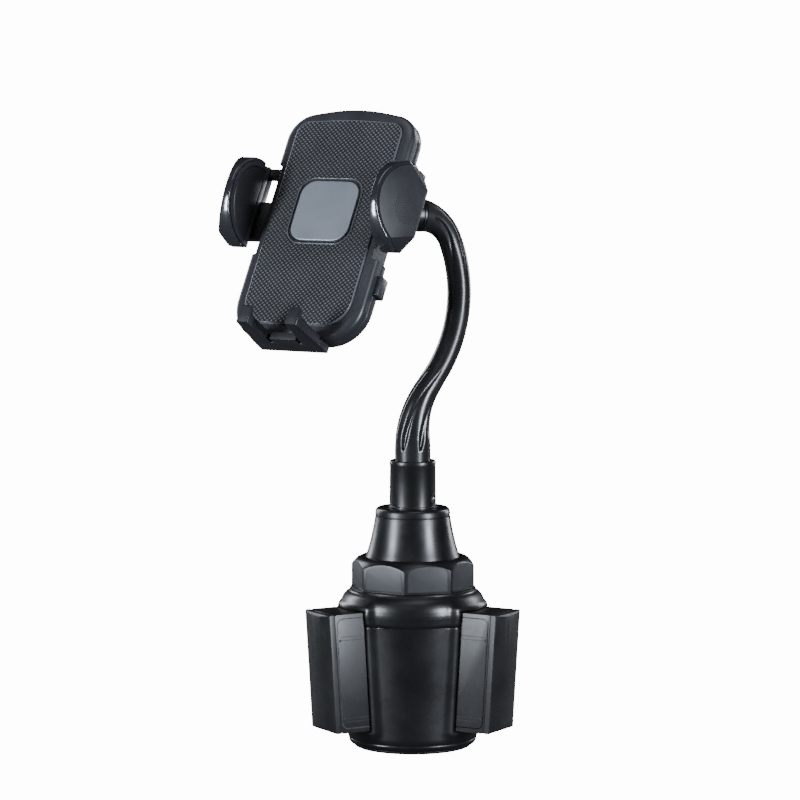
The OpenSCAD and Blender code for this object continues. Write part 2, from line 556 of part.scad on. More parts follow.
// outline of an arm's cheek, seen from the side: x along v, y along w
module cheek(r, w0) polygon(concat([[cheek_v - r, w0]], [for (k = [0:24]) [cheek_v, cheek_w0] +
    r * [-cos(180 * k / 24), sin(180 * k / 24)]], [[cheek_v + r, w0]]));
module side_extrude(u0, u1) translate([u0, 0, 0]) rotate([90, 0, 90]) linear_extrude(u1 - u0) children();
// wedge between the arm's inner face and its slanted outer face
module cheek_wedge(u0) intersection() {
    translate([0, 40, 0]) rotate([90, 0, 0]) linear_extrude(80) polygon([[u0, -bar_t], [cheek_t + 0.4, -bar_t],
        [cheek_t, 0], [cheek_t - 0.4 * arm_w, arm_w + 1], [u0, arm_w + 1]]);
    // both ends thinned towards the outer face
    translate([0, cheek_v, -10]) linear_extrude(50) polygon([[u0 - 1, -23], [41.5, -23], [cheek_t + 0.6, -11],
        [cheek_t + 0.6, 11], [41.5, 23], [u0 - 1, 23]]);
}
module arm_side(s) cradle_frame() mirror([s > 0 ? 0 : 1, 0, 0]) children();
module arm_body() difference() {
    union() {
        intersection() {
            side_extrude(arm_u, cheek_t + 2) cheek(cheek_r - trim_t, -1.9);
            cheek_wedge(arm_u);
        }
        // root block behind the cheek, and the two bars of the fork
        translate([arm_u + 1, bar_v[0], bar_w]) cube([5, bar_v[3] - bar_v[0], -bar_w - 1.85]);
        translate([23, bar_v[0], bar_w]) cube([15, bar_v[1] - bar_v[0], bar_t]);
        translate([23, bar_v[2], bar_w]) cube([15, bar_v[3] - bar_v[2], bar_t]);
    }
    side_extrude(arm_u - 1, arm_u + 1.6) cheek(cheek_r - trim_t - 2.2, 1);
}
module arm_right_frame() color(CHARCOAL) arm_side(1) {
    arm_body();
    translate([-14, 3.6, bar_w]) cube([37, gear_v - gear_r - gear_ded - 3.6, bar_t]);
    translate([0, gear_v - gear_r, bar_w]) linear_extrude(bar_t) rack_teeth(-14, 22);
}
module arm_left_frame() color(CHARCOAL) {
    arm_side(-1) {
        arm_body();
        translate([-14, gear_v + gear_r + gear_ded, bar_w]) cube([37, 4.5, bar_t]);
    }
    cradle_frame() translate([0, gear_v + gear_r, bar_w]) linear_extrude(bar_t)
        mirror([0, 1, 0]) rack_teeth(-22, 14);
}
module arm_pad(s) color(BLACK) arm_side(s) intersection() {
    side_extrude(arm_u, arm_u + 1.55) cheek(cheek_r - trim_t - 2.3, 1.1);
    cheek_wedge(arm_u);
}
module arm_trim(s) color(PLATE) arm_side(s) intersection() {
    difference() {
        side_extrude(arm_u + 0.4, cheek_t + 2) cheek(cheek_r, 2);
        side_extrude(arm_u, cheek_t + 3) cheek(cheek_r - trim_t + 0.02, -3);
    }
    cheek_wedge(arm_u);
}
module arm_right_pad() arm_pad(1);
module arm_left_pad() arm_pad(-1);
module arm_right_trim() arm_trim(1);
module arm_left_trim() arm_trim(-1);

// ---------- release button and foot ----------
module release_button() color(CHARCOAL) cradle_frame() {
    translate([body_u - 2.6, button_v - 4.8, -12]) cube([5.2, 9.6, 6]);
    translate([20, button_v - 3, -10.6]) cube([body_u - 22, 6, 3.2]);
}
module button_spring() color(STEEL) cradle_frame() translate([12.2, button_v, -9]) rotate([0, 90, 0])
    for (k = [0:4]) translate([0, 0, 1.62 * k]) rotate_extrude() translate([1.7, 0]) circle(0.4);
module foot_bracket() color(CHARCOAL) cradle_frame() {
    translate([-foot_u, body_v0 - 3.2, -9.4]) cube([2 * foot_u, 2.9, 8]);
    // tongue that slides inside the body
    translate([-foot_u, body_v0 - 1, -9.4]) cube([2 * foot_u, 19, 4]);
    for (s = [-1, 1]) mirror([s > 0 ? 0 : 1, 0, 0]) {
        translate([0, body_v0 - 3.2, 0]) rotate([-90, 0, 0]) linear_extrude(2.2) polygon([[7.6, 9.4],
            [foot_u, 9.4], [foot_u, 2], [15.4, -prong_w + 1],
            [14.4, -prong_w], [10.6, -prong_w], [9.8, -prong_w + 1]]);
        translate([0, body_v0 - 1.2, 0]) rotate([-90, 0, 0]) linear_extrude(2) polygon([[8.2, 0.6],
            [foot_u - 0.4, 0.6], [15.4, -prong_w + 1],
            [14.4, -prong_w], [10.6, -prong_w], [9.8, -prong_w + 1]]);
        // raised tip
        translate([9.9, 0, 0]) side_extrude(0, 5.2) polygon([[body_v0 - 3.2, prong_w - 3.4],
            [body_v0 - 3.2, prong_w], [body_v0 + 4.2, prong_w], [body_v0 + 5.2, prong_w - 1.2],
            [body_v0 + 5.2, prong_w - 2.6], [body_v0 + 1, prong_w - 3.4]]);
    }
    translate([-6.6, body_v0 - 3.2, -2]) cube([13.2, 3.4, 4.6]);
}
module foot_pads() color(BLACK) cradle_frame() for (s = [-1, 1]) mirror([s > 0 ? 0 : 1, 0, 0])
    translate([10.6, body_v0 + 0.8, 0.4]) cube([4, 1.4, prong_w - 4.4]);

cup_body();
cup_lid();
base_foot_pad();
centre_post();
guide_plate();
lid_screws();
post_screw();
cone_cover();
collar_sleeve();
collar_set_screw();
twist_nut();
cam_disc();
nut_screws();
thrust_washer();
paddle_1_box();
paddle_2_box();
paddle_3_box();
paddle_1_pad();
paddle_2_pad();
paddle_3_pad();
paddle_1_pin();
paddle_2_pin();
paddle_3_pin();
neck_core_0();
neck_core_1();
neck_core_2();
neck_core_3();
neck_core_4();
neck_sleeve_0();
neck_sleeve_1();
neck_sleeve_2();
neck_sleeve_3();
neck_sleeve_4();
neck_end_cap();
ball_stud();
ball_liner();
pressure_ring();
ball_socket();
clamp_nut();
socket_screws();
cradle_front();
cradle_back();
grip_pad();
centre_plate();
shell_screws();
pinion_axle();
arm_pinion();
arm_right_frame();
arm_left_frame();
arm_right_pad();
arm_left_pad();
arm_right_trim();
arm_left_trim();
release_button();
button_spring();
foot_bracket();
foot_pads();
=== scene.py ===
"""Cup-holder phone mount: the finished look of every piece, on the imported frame.

Lengths are in metres. mm() turns millimetres into them.
"""

import json
import math

import bmesh
import bpy
from mathutils import Matrix, Vector


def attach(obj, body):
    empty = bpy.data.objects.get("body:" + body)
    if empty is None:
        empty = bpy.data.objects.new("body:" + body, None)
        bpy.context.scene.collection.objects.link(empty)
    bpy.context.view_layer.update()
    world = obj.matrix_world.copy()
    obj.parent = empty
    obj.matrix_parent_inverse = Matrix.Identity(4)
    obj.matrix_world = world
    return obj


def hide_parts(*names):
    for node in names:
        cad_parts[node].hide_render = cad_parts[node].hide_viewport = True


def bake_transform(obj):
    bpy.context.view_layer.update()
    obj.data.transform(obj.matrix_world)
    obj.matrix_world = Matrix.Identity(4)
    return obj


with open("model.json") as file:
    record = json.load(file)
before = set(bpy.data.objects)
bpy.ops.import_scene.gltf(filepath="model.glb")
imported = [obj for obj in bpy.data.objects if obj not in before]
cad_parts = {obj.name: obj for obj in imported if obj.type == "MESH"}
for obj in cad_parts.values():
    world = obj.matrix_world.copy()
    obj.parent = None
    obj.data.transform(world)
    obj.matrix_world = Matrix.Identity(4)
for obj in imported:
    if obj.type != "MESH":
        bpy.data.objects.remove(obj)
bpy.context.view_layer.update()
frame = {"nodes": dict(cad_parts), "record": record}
scene = bpy.context.scene


def mm(*values):
    """Millimetres to metres: one number, or a vector of three."""
    if len(values) == 1:
        return values[0] / 1000
    return Vector([v / 1000 for v in values])


# ---------- where things are ----------
CRADLE_TILT = math.radians(31)
ALONG = Vector((0, math.sin(CRADLE_TILT), math.cos(CRADLE_TILT)))
OUTWARD = Vector((0, -math.cos(CRADLE_TILT), math.sin(CRADLE_TILT)))
PLATE_MIDDLE = mm(-14.642, -53.161, 248.289)
CRADLE = Matrix.Translation(PLATE_MIDDLE) @ Matrix(
    ((1, ALONG.x, OUTWARD.x, 0), (0, ALONG.y, OUTWARD.y, 0), (0, ALONG.z, OUTWARD.z, 0), (0, 0, 0, 1))
)
NECK_PLANE = Matrix.Rotation(math.radians(56.6), 4, "Z")


# ---------- shader groups ----------
def new_group(name, inputs, outputs):
    """An empty shader group with float inputs {name: default} and outputs [(name, type)]."""
    group = bpy.data.node_groups.new(name, "ShaderNodeTree")
    for label, default in inputs.items():
        socket = group.interface.new_socket(label, in_out="INPUT", socket_type="NodeSocketFloat")
        socket.default_value = default
    for label in outputs:
        group.interface.new_socket(label, in_out="OUTPUT", socket_type="NodeSocketFloat")
    return group, group.nodes.new("NodeGroupInput"), group.nodes.new("NodeGroupOutput")


def noise(tree, coordinates, scale, detail=3.0, roughness=0.5):
    node = tree.nodes.new("ShaderNodeTexNoise")
    node.inputs["Detail"].default_value = detail
    node.inputs["Roughness"].default_value = roughness
    tree.links.new(coordinates, node.inputs["Vector"])
    if isinstance(scale, bpy.types.NodeSocket):
        tree.links.new(scale, node.inputs["Scale"])
    else:
        node.inputs["Scale"].default_value = scale
    return node.outputs["Fac"]


def math_node(tree, operation, a, b):
    node = tree.nodes.new("ShaderNodeMath")
    node.operation = operation
    for i, value in enumerate((a, b)):
        if isinstance(value, bpy.types.NodeSocket):
            tree.links.new(value, node.inputs[i])
        else:
            node.inputs[i].default_value = value
    return node.outputs[0]


def remap(tree, value, low, high, to_low, to_high):
    node = tree.nodes.new("ShaderNodeMapRange")
    for label, number in (("From Min", low), ("From Max", high), ("To Min", to_low), ("To Max", to_high)):
        if isinstance(number, bpy.types.NodeSocket):
            tree.links.new(number, node.inputs[label])
        else:
            node.inputs[label].default_value = number
    tree.links.new(value, node.inputs["Value"])
    return node.outputs["Result"]


def build_moulded_grain():
    """Spark-eroded mould texture: a fine pebble grain with a slow waviness under it."""
    group, given, result = new_group(
        "moulded_grain", {"Grain Scale": 2600.0, "Waviness": 0.2}, ["Height", "Speckle"]
    )
    place = group.nodes.new("ShaderNodeTexCoord").outputs["Object"]
    fine = noise(group, place, given.outputs["Grain Scale"], 2.0, 0.6)
    slow = noise(group, place, 60.0, 2.0)
    wave = math_node(group, "MULTIPLY", slow, given.outputs["Waviness"])
    group.links.new(math_node(group, "ADD", fine, wave), result.inputs["Height"])
    group.links.new(remap(group, fine, 0.35, 0.65, 0.0, 1.0), result.inputs["Speckle"])
    return group


def build_handling_marks():
    """Cloudy smudges and short fine rubs left by hands and cloths."""
    group, given, result = new_group("handling_marks", {"Smudge Scale": 45.0}, ["Smudge", "Rub"])
    place = group.nodes.new("ShaderNodeTexCoord").outputs["Object"]
    cloudy = noise(group, place, given.outputs["Smudge Scale"], 4.0, 0.6)
    stretch = group.nodes.new("ShaderNodeMapping")
    stretch.inputs["Scale"].default_value = (1.0, 1.0, 0.12)
    stretch.inputs["Rotation"].default_value = (0.4, 0.7, 0.2)
    group.links.new(place, stretch.inputs["Vector"])
    rub = noise(group, stretch.outputs["Vector"], 900.0, 2.0, 0.7)
    group.links.new(remap(group, cloudy, 0.35, 0.7, 0.0, 1.0), result.inputs["Smudge"])
    group.links.new(remap(group, rub, 0.6, 0.8, 0.0, 1.0), result.inputs["Rub"])
    return group


def build_turned_lines():
    """Fine concentric tool lines of a part turned about an upright axis."""
    group, given, result = new_group("turned_lines", {"Line Scale": 900.0}, ["Height"])
    place = group.nodes.new("ShaderNodeTexCoord").outputs["Object"]
    flatten = group.nodes.new("ShaderNodeMapping")
    flatten.inputs["Scale"].default_value = (0.02, 0.02, 1.0)
    group.links.new(place, flatten.inputs["Vector"])
    lines = noise(group, flatten.outputs["Vector"], given.outputs["Line Scale"], 1.0)
    group.links.new(lines, result.inputs["Height"])
    return group


GRAIN = build_moulded_grain()
MARKS = build_handling_marks()
TURNED = build_turned_lines()


def use(tree, group, **values):
    node = tree.nodes.new("ShaderNodeGroup")
    node.node_tree = group
    for label, value in values.items():
        node.inputs[label.replace("_", " ")].default_value = value
    return node.outputs


def finish_of(name, colour, worn, roughness, grain=2600.0, depth=0.00002, strength=0.35, wave=0.2,
              smudge=0.06, metallic=0.0, coat=0.0, coat_roughness=0.1, turned=0.0):
    """A moulded, rubber or metal finish: colour drifts to worn in rubs, smudges change the gloss."""
    material = bpy.data.materials.new(name)
    material.use_nodes = True
    tree = material.node_tree
    shader = tree.nodes["Principled BSDF"]
    surface = use(tree, GRAIN, Grain_Scale=grain, Waviness=wave)
    marks = use(tree, MARKS)
    drift = math_node(tree, "ADD", math_node(tree, "MULTIPLY", marks["Smudge"], 0.35),
                      math_node(tree, "MULTIPLY", marks["Rub"], 0.4))
    drift = math_node(tree, "ADD", drift, math_node(tree, "MULTIPLY", surface["Speckle"], 0.15))
    blend = tree.nodes.new("ShaderNodeMix")
    blend.data_type = "RGBA"
    blend.inputs["A"].default_value = (*colour, 1)
    blend.inputs["B"].default_value = (*worn, 1)
    tree.links.new(drift, blend.inputs["Factor"])
    tree.links.new(blend.outputs["Result"], shader.inputs["Base Color"])
    gloss = remap(tree, marks["Smudge"], 0.0, 1.0, roughness - smudge, roughness + smudge)
    tree.links.new(gloss, shader.inputs["Roughness"])
    height = surface["Height"]
    if turned:
        lines = use(tree, TURNED)["Height"]
        height = math_node(tree, "ADD", height, math_node(tree, "MULTIPLY", lines, turned))
    bump = tree.nodes.new("ShaderNodeBump")
    bump.inputs["Strength"].default_value = strength
    bump.inputs["Distance"].default_value = depth
    tree.links.new(height, bump.inputs["Height"])
    tree.links.new(bump.outputs["Normal"], shader.inputs["Normal"])
    shader.inputs["Metallic"].default_value = metallic
    shader.inputs["Coat Weight"].default_value = coat
    shader.inputs["Coat Roughness"].default_value = coat_roughness
    return material


SATIN_BLACK = finish_of("satin_black_plastic", (0.0035, 0.0036, 0.0042), (0.009, 0.0093, 0.0105), 0.33,
                        depth=0.00003, strength=0.3)
NUT_GREY = finish_of("nut_flat_plastic", (0.017, 0.018, 0.021), (0.028, 0.029, 0.033), 0.44,
                     grain=2200.0, depth=0.00004, strength=0.45)
PADDLE_GREY = finish_of("paddle_grey_plastic", (0.085, 0.088, 0.102), (0.112, 0.116, 0.131), 0.52,
                        grain=1900.0, depth=0.00005, strength=0.6)
CHARCOAL = finish_of("charcoal_plastic", (0.020, 0.021, 0.0245), (0.033, 0.035, 0.040), 0.40,
                     grain=2400.0, depth=0.00003, strength=0.35)
ARM_CHARCOAL = finish_of("arm_charcoal_plastic", (0.015, 0.0158, 0.0185), (0.026, 0.0275, 0.032), 0.38,
                         grain=2400.0, depth=0.00003, strength=0.3)
SOFT_BLACK = finish_of("soft_black_rubber", (0.006, 0.0062, 0.007), (0.013, 0.0133, 0.0145), 0.42,
                       grain=1500.0, depth=0.00004, strength=0.4)
GRIP_RUBBER = finish_of("grip_rubber", (0.115, 0.119, 0.134), (0.150, 0.155, 0.172), 0.46,
                        grain=3000.0, depth=0.00002, strength=0.3)
NECK_SKIN = finish_of("neck_skin_rubber", (0.0095, 0.0098, 0.011), (0.020, 0.021, 0.023), 0.30,
                      grain=1800.0, depth=0.00002, strength=0.25, wave=1.2)
GLOSS_TRIM = finish_of("gloss_trim_plastic", (0.018, 0.019, 0.022), (0.028, 0.030, 0.035), 0.14,
                       strength=0.08, smudge=0.04, coat=0.8, coat_roughness=0.06)
# Painted highlight: a pale plastic for the thin lines that stand in for light caught on edges and rims.
EDGE_HIGHLIGHT = finish_of("painted_edge_highlight", (0.085, 0.090, 0.104), (0.115, 0.121, 0.137), 0.26,
                      strength=0.1, smudge=0.04)
# Painted shade: near black for grooves, pits and bores, drawn as flat dark marks.
RECESS_SHADE = finish_of("painted_recess_shade", (0.004, 0.004, 0.005), (0.008, 0.008, 0.009), 0.60)
PLATE_METAL = finish_of("centre_plate_metal", (0.235, 0.255, 0.295), (0.275, 0.295, 0.335), 0.40,
                        grain=3200.0, depth=0.00001, strength=0.2, metallic=0.35)
STEEL = finish_of("turned_steel", (0.50, 0.50, 0.51), (0.38, 0.38, 0.40), 0.28, grain=2000.0,
                  depth=0.00001, strength=0.3, metallic=1.0, turned=0.8)
INNER_PLASTIC = finish_of("inner_grey_plastic", (0.30, 0.30, 0.30), (0.22, 0.22, 0.22), 0.55)

SLOT_FINISH = {
    "black_plastic": SATIN_BLACK, "grey_plastic": PADDLE_GREY, "charcoal_plastic": CHARCOAL,
    "soft_black": SOFT_BLACK, "grip_rubber": GRIP_RUBBER, "neck_skin": NECK_SKIN,
    "gloss_trim": GLOSS_TRIM, "plate_steel": PLATE_METAL, "steel": STEEL, "inner_plastic": INNER_PLASTIC,
}


def paint_valley_shade(material, low, high):
    """Paints shade into the grip pad's valleys: fades a finish to near black between two depths from the
    grip pad's face, in millimetres.
    """
    tree = material.node_tree
    shader = tree.nodes["Principled BSDF"]
    depth = tree.nodes.new("ShaderNodeVectorMath")
    depth.operation = "DOT_PRODUCT"
    depth.inputs[1].default_value = OUTWARD
    tree.links.new(tree.nodes.new("ShaderNodeTexCoord").outputs["Object"], depth.inputs[0])
    face = PLATE_MIDDLE.dot(OUTWARD)
    fade = remap(tree, depth.outputs["Value"], face + mm(low), face + mm(high), 0.0, 1.0)
    blend = tree.nodes.new("ShaderNodeMix")
    blend.data_type = "RGBA"
    blend.inputs["A"].default_value = (0.004, 0.004, 0.005, 1)
    tree.links.new(fade, blend.inputs["Factor"])
    tree.links.new(shader.inputs["Base Color"].links[0].from_socket, blend.inputs["B"])
    tree.links.new(blend.outputs["Result"], shader.inputs["Base Color"])


# Painted shade in the knurl's valleys, darkest at their bottoms.
paint_valley_shade(GRIP_RUBBER, -0.5, -0.12)


# ---------- making pieces ----------
def sine(a):
    return math.sin(math.radians(a))


def cosine(a):
    return math.cos(math.radians(a))


def arc(cx, cy, r, a0, a1, n):
    """Points of a round stretch, in n steps from angle a0 to angle a1, in degrees."""
    angles = [a0 + (a1 - a0) * k / n for k in range(n + 1)]
    return [(cx + r * cosine(a), cy + r * sine(a)) for a in angles]


def add_ring(bm, points):
    """A closed loop of edges through these points."""
    verts = [bm.verts.new(p) for p in points]
    return [bm.edges.new((v, verts[(i + 1) % len(verts)])) for i, v in enumerate(verts)], verts


def loft(rings):
    """A skin bridged over rings of points, closed at both ends."""
    bm = bmesh.new()
    loops = [add_ring(bm, ring) for ring in rings]
    for (a, _), (b, _) in zip(loops, loops[1:]):
        bmesh.ops.bridge_loops(bm, edges=a + b)
    bm.faces.new(loops[0][1])
    bm.faces.new(loops[-1][1])
    bmesh.ops.recalc_face_normals(bm, faces=bm.faces)
    return bm


def turn(profile, steps=96, place=None):
    """A closed profile of (radius, height) in millimetres, spun round the upright axis."""
    bm = bmesh.new()
    edges, verts = add_ring(bm, [mm(r, 0, z) for r, z in profile])
    bmesh.ops.spin(bm, geom=edges + verts, axis=(0, 0, 1), cent=(0, 0, 0), angle=math.tau,
                   steps=steps, use_merge=True)
    bmesh.ops.remove_doubles(bm, verts=bm.verts, dist=1e-6)
    bmesh.ops.delete(bm, geom=[e for e in bm.edges if not e.link_faces], context="EDGES")
    bmesh.ops.recalc_face_normals(bm, faces=bm.faces)
    if place is not None:
        bmesh.ops.transform(bm, matrix=place, verts=bm.verts)
    return bm


def smooth_by_angle(bm, degrees):
    limit = math.radians(degrees)
    for face in bm.faces:
        face.smooth = True
    for edge in bm.edges:
        edge.smooth = len(edge.link_faces) == 2 and edge.calc_face_angle(0) < limit


def piece(name, bm, finish, body, stands_for=(), place=None, sharp=35):
    """Makes the mesh an object that rides on a body, if one is given, and stands for some plain nodes."""
    if place is not None:
        bmesh.ops.transform(bm, matrix=place, verts=bm.verts)
    smooth_by_angle(bm, sharp)
    mesh = bpy.data.meshes.new(name)
    bm.to_mesh(mesh)
    bm.free()
    mesh.materials.append(finish)
    obj = bpy.data.objects.new(name, mesh)
    scene.collection.objects.link(obj)
    if body:
        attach(obj, body)
    if stands_for:
        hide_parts(*stands_for)
    return obj


HARD_EDGE = math.radians(28)


def softened(name, node, finish, body, width=0.4, segments=3):
    """The moulded version of a plain node: the same shape with all its hard edges rounded."""
    bm = bmesh.new()
    bm.from_mesh(frame["nodes"][node].data)
    bmesh.ops.remove_doubles(bm, verts=bm.verts, dist=2e-6)
    bmesh.ops.dissolve_limit(bm, angle_limit=math.radians(0.5), verts=bm.verts, edges=bm.edges)
    hard = [e for e in bm.edges if len(e.link_faces) == 2 and e.calc_face_angle(0) > HARD_EDGE]
    bmesh.ops.bevel(bm, geom=hard, offset=mm(width), offset_type="OFFSET", affect="EDGES",
                    segments=segments, profile=0.5, material=-1, clamp_overlap=True)
    return piece(name, bm, finish, body, stands_for=[node])


# ---------- base ----------
# (height, radius) rows of the cup's wall and of the lid's shoulder
WALL = [(1.3, 27.2), (1.7, 28.5), (2.4, 29.1), (3.3, 29.35), (3.9, 29.5), (4.2, 29.35), (4.5, 29.62),
        (7.0, 29.78)]
SHOULDER = [(58.25, 32.78), (58.4, 32.6), (58.6, 32.6), (58.75, 32.8), (60.5, 32.95), (62.5, 33.25),
            (64.2, 33.4), (66.0, 33.25), (67.6, 32.9), (69.0, 32.35), (70.2, 31.7), (71.2, 30.75),
            (71.8, 29.9), (72.1, 29.35), (72.4, 29.1)]
SLOT_HALF = 11.85
SLOT_LOW = 10.3
SLOT_HIGH = 65.5


def wall_radius(z):
    rows = WALL + [(58.2, 32.78)] + SHOULDER
    for (z0, r0), (z1, r1) in zip(rows, rows[1:]):
        if z <= z1:
            return r0 + (r1 - r0) * max(0.0, z - z0) / (z1 - z0)
    return rows[-1][1]


def ease(t):
    t = min(1.0, max(0.0, t))
    return t * t * (3 - 2 * t)


def bead(y, z):
    """Height of the soft bead that frames a paddle's slot, from the distance to its edge."""
    dy = abs(y) - SLOT_HALF
    dz = max(SLOT_LOW - z, z - SLOT_HIGH)
    out = math.hypot(max(dy, 0), max(dz, 0)) if dy > 0 or dz > 0 else max(dy, dz)
    if out < 0:
        return 1.0
    rise = 1.35 * (1 - ease((out - 1.5) / 3.4))
    edge = 0.35 * (1 - min(1.0, out / 0.7)) ** 2
    return (rise - edge) * (1 - 0.8 * ease((z - 67.5) / 3.5)) * ease((z - 3.9) / 3.0)


def cup_shell():
    """Cup wall and lid shoulder in one grid, with slots for the paddles and beads round them."""
    rows = [z for z, _ in WALL] + [8.2, 8.9, 9.4, 9.8, SLOT_LOW, 10.8, 12.0, 14.0]
    rows += [18.0 + 4.0 * k for k in range(10)] + [58.0] + [z for z, _ in SHOULDER]
    rows += [64.9, SLOT_HIGH, 65.9, 66.4, 67.0, 68.2]
    rows = sorted(set(rows))
    near = [0, 4, 8, 10.5, SLOT_HALF, 12.15, 12.6, 13.2, 13.9, 14.7, 15.5, 16.3, 17.1, 18.0]
    near = [-y for y in near[:0:-1]] + near
    between = 9
    bm = bmesh.new()
    grid = []
    for z in rows:
        radius = wall_radius(z)
        ring = []
        for third in range(3):
            spin = Matrix.Rotation(math.tau / 3 * third, 3, "Z")
            for y in near:
                lift = bead(y, z)
                ring.append(spin @ mm(math.sqrt((radius + lift) ** 2 - y * y), y, z))
            edge = math.asin(near[-1] / radius)
            for k in range(1, between):
                a = edge + (math.tau / 3 - 2 * edge) * k / between
                ring.append(spin @ mm(radius * math.cos(a), radius * math.sin(a), z))
        grid.append(add_ring(bm, ring)[0])
    for low, high in zip(grid, grid[1:]):
        bmesh.ops.bridge_loops(bm, edges=low + high)
    inside = []
    for face in bm.faces:
        c = face.calc_center_median() * 1000
        for third in range(3):
            p = Matrix.Rotation(-math.tau / 3 * third, 3, "Z") @ c
            if p.x > 0 and abs(p.y) < SLOT_HALF and SLOT_LOW < c.z < SLOT_HIGH:
                inside.append(face)
    bmesh.ops.delete(bm, geom=inside, context="FACES")
    bmesh.ops.recalc_face_normals(bm, faces=bm.faces)
    probe = max(bm.faces, key=lambda f: f.calc_center_median().x)
    if probe.normal.x < 0:
        bmesh.ops.reverse_faces(bm, faces=bm.faces)
    bmesh.ops.solidify(bm, geom=bm.faces, thickness=mm(1.8))
    return bm


def cup_deck():
    """Floor of the cup and the flat top of the lid with its ring groove, as turned pieces."""
    bottom = turn([(0, 1.25), (27.3, 1.25), (27.3, 4.0), (0, 4.0)])
    deck = turn([(21.8, 70.1), (21.8, 73.0), (23.8, 73.0), (24.1, 72.7), (24.1, 72.35), (28.3, 72.35),
                 (28.5, 72.75), (29.1, 72.6), (29.35, 72.2), (29.2, 71.4), (27.6, 70.1)])
    mesh = bpy.data.meshes.new("deck")
    bottom.to_mesh(mesh)
    deck.from_mesh(mesh)
    bpy.data.meshes.remove(mesh)
    bottom.free()
    return deck


piece("cup_wall", cup_shell(), SATIN_BLACK, "base", ["cup_body"], sharp=50)
piece("cup_floor_and_deck", cup_deck(), SATIN_BLACK, "base", ["cup_lid"], sharp=40)
piece("foot_disc", turn([(0, 0), (26.1, 0), (26.8, 0.35), (27.0, 0.8), (27.0, 1.3), (0, 1.3)]), SOFT_BLACK,
      "base", ["base_foot_pad"])
CONE = [(20.2, 85), (21.7, 85), (21.95, 86.6), (21.6, 88), (20.85, 90), (19.7, 94), (18.65, 98.6),
        (17.9, 102.5), (17.35, 105.9), (17.28, 106.3), (16.98, 106.5), (16.98, 106.8), (17.25, 107.0),
        (17.2, 108.2), (17.0, 109.2), (16.6, 109.9), (16.0, 110.3), (15.2, 110.42), (12.2, 110.5),
        (11.75, 110.3), (11.6, 109.8), (5.6, 109.6), (5.6, 108.3), (14.9, 108.3), (16.4, 98.6), (18.6, 90)]
piece("cone", turn(CONE, 128), SATIN_BLACK, "base", ["cone_cover"], sharp=30)

# straight collar with a stepped foot and a rounded mouth
COLLAR = [(8.3, 109.8), (10.7, 109.8), (11.08, 110.0), (11.1, 110.4), (11.05, 111.0), (10.72, 111.3),
          (10.68, 112.0), (10.5, 129.6), (10.62, 129.9), (10.66, 131.0), (10.5, 131.7), (10.1, 132.0),
          (8.6, 132.0), (8.3, 131.6)]
piece("collar", turn(COLLAR, 128), SATIN_BLACK, "base", ["collar_sleeve"], sharp=30)


def screw_eye():
    """Raised lip of the set screw's hole, a dark disc painted as the shade in its bore, and the bright
    socket screw inside.
    """
    side = Matrix.Translation(mm(10.1, 0, 114.5)) @ Matrix.Rotation(math.pi / 2, 4, "Y")
    lip = turn([(1.75, 0), (2.15, 0), (2.15, 0.55), (2.0, 0.72), (1.85, 0.72), (1.75, 0.6)], 32, side)
    piece("set_screw_lip", lip, SATIN_BLACK, "base")
    # Painted shade: a dark disc inside the hole, where shade falls in the bore.
    bore = turn([(0, 0.5), (1.8, 0.5), (1.8, 0.62), (0, 0.62)], 32, side)
    piece("set_screw_bore_shade", bore, RECESS_SHADE, "base")
    dot = turn([(0, 0.6), (0.95, 0.6), (0.95, 0.8), (0.7, 0.95), (0, 1.0)], 24, side)
    piece("set_screw_tip", dot, STEEL, "base")


screw_eye()
softened("twist_nut_body", "twist_nut", SATIN_BLACK, "knob", 0.55, 4)


def nut_flats():
    """Grey panels let into the nut's eight flats, each with an arched top edge."""
    bm = bmesh.new()
    for k in range(8):
        outline = [(-9.3, 74.6), (9.3, 74.6), (9.3, 82.4), (8.7, 83.8), (7.2, 84.9), (4.2, 85.7), (0, 86.0),
                   (-4.2, 85.7), (-7.2, 84.9), (-8.7, 83.8), (-9.3, 82.4)]
        verts = [bm.verts.new(mm(26.28, y, z)) for y, z in outline]
        face = bm.faces.new(verts)
        spin = Matrix.Rotation(math.tau / 8 * k, 4, "Z")
        bmesh.ops.transform(bm, matrix=spin, verts=verts)
        bmesh.ops.inset_region(bm, faces=[face], use_boundary=True, thickness=mm(0.35), depth=mm(0.05))
    bmesh.ops.recalc_face_normals(bm, faces=bm.faces)
    bmesh.ops.solidify(bm, geom=bm.faces, thickness=mm(0.2))
    return bm


piece("nut_flats", nut_flats(), NUT_GREY, "knob", sharp=20)


# ---------- paddles ----------
PADDLE_SIDE = 11.5


def paddle_place(i):
    return Matrix.Rotation(math.tau / 3 * (i - 1), 4, "Z")


def panel_edge(z):
    """How far out a side panel reaches at this height."""
    return 43.3 + 0.0623 * (z - 14.8)


def panel_outline(inset):
    """Outline of a side panel, with both outer corners rounded."""
    low, high, near, r = 12.6 + inset, 63.4 - inset, 24 + inset, 3 - inset
    lower = arc(panel_edge(low + r) - inset - r, low + r, r, -90, 0, 8)
    upper = arc(panel_edge(high - r) - inset - r, high - r, r, 0, 90, 8)
    return [(near, low)] + lower + upper + [(near, high)]


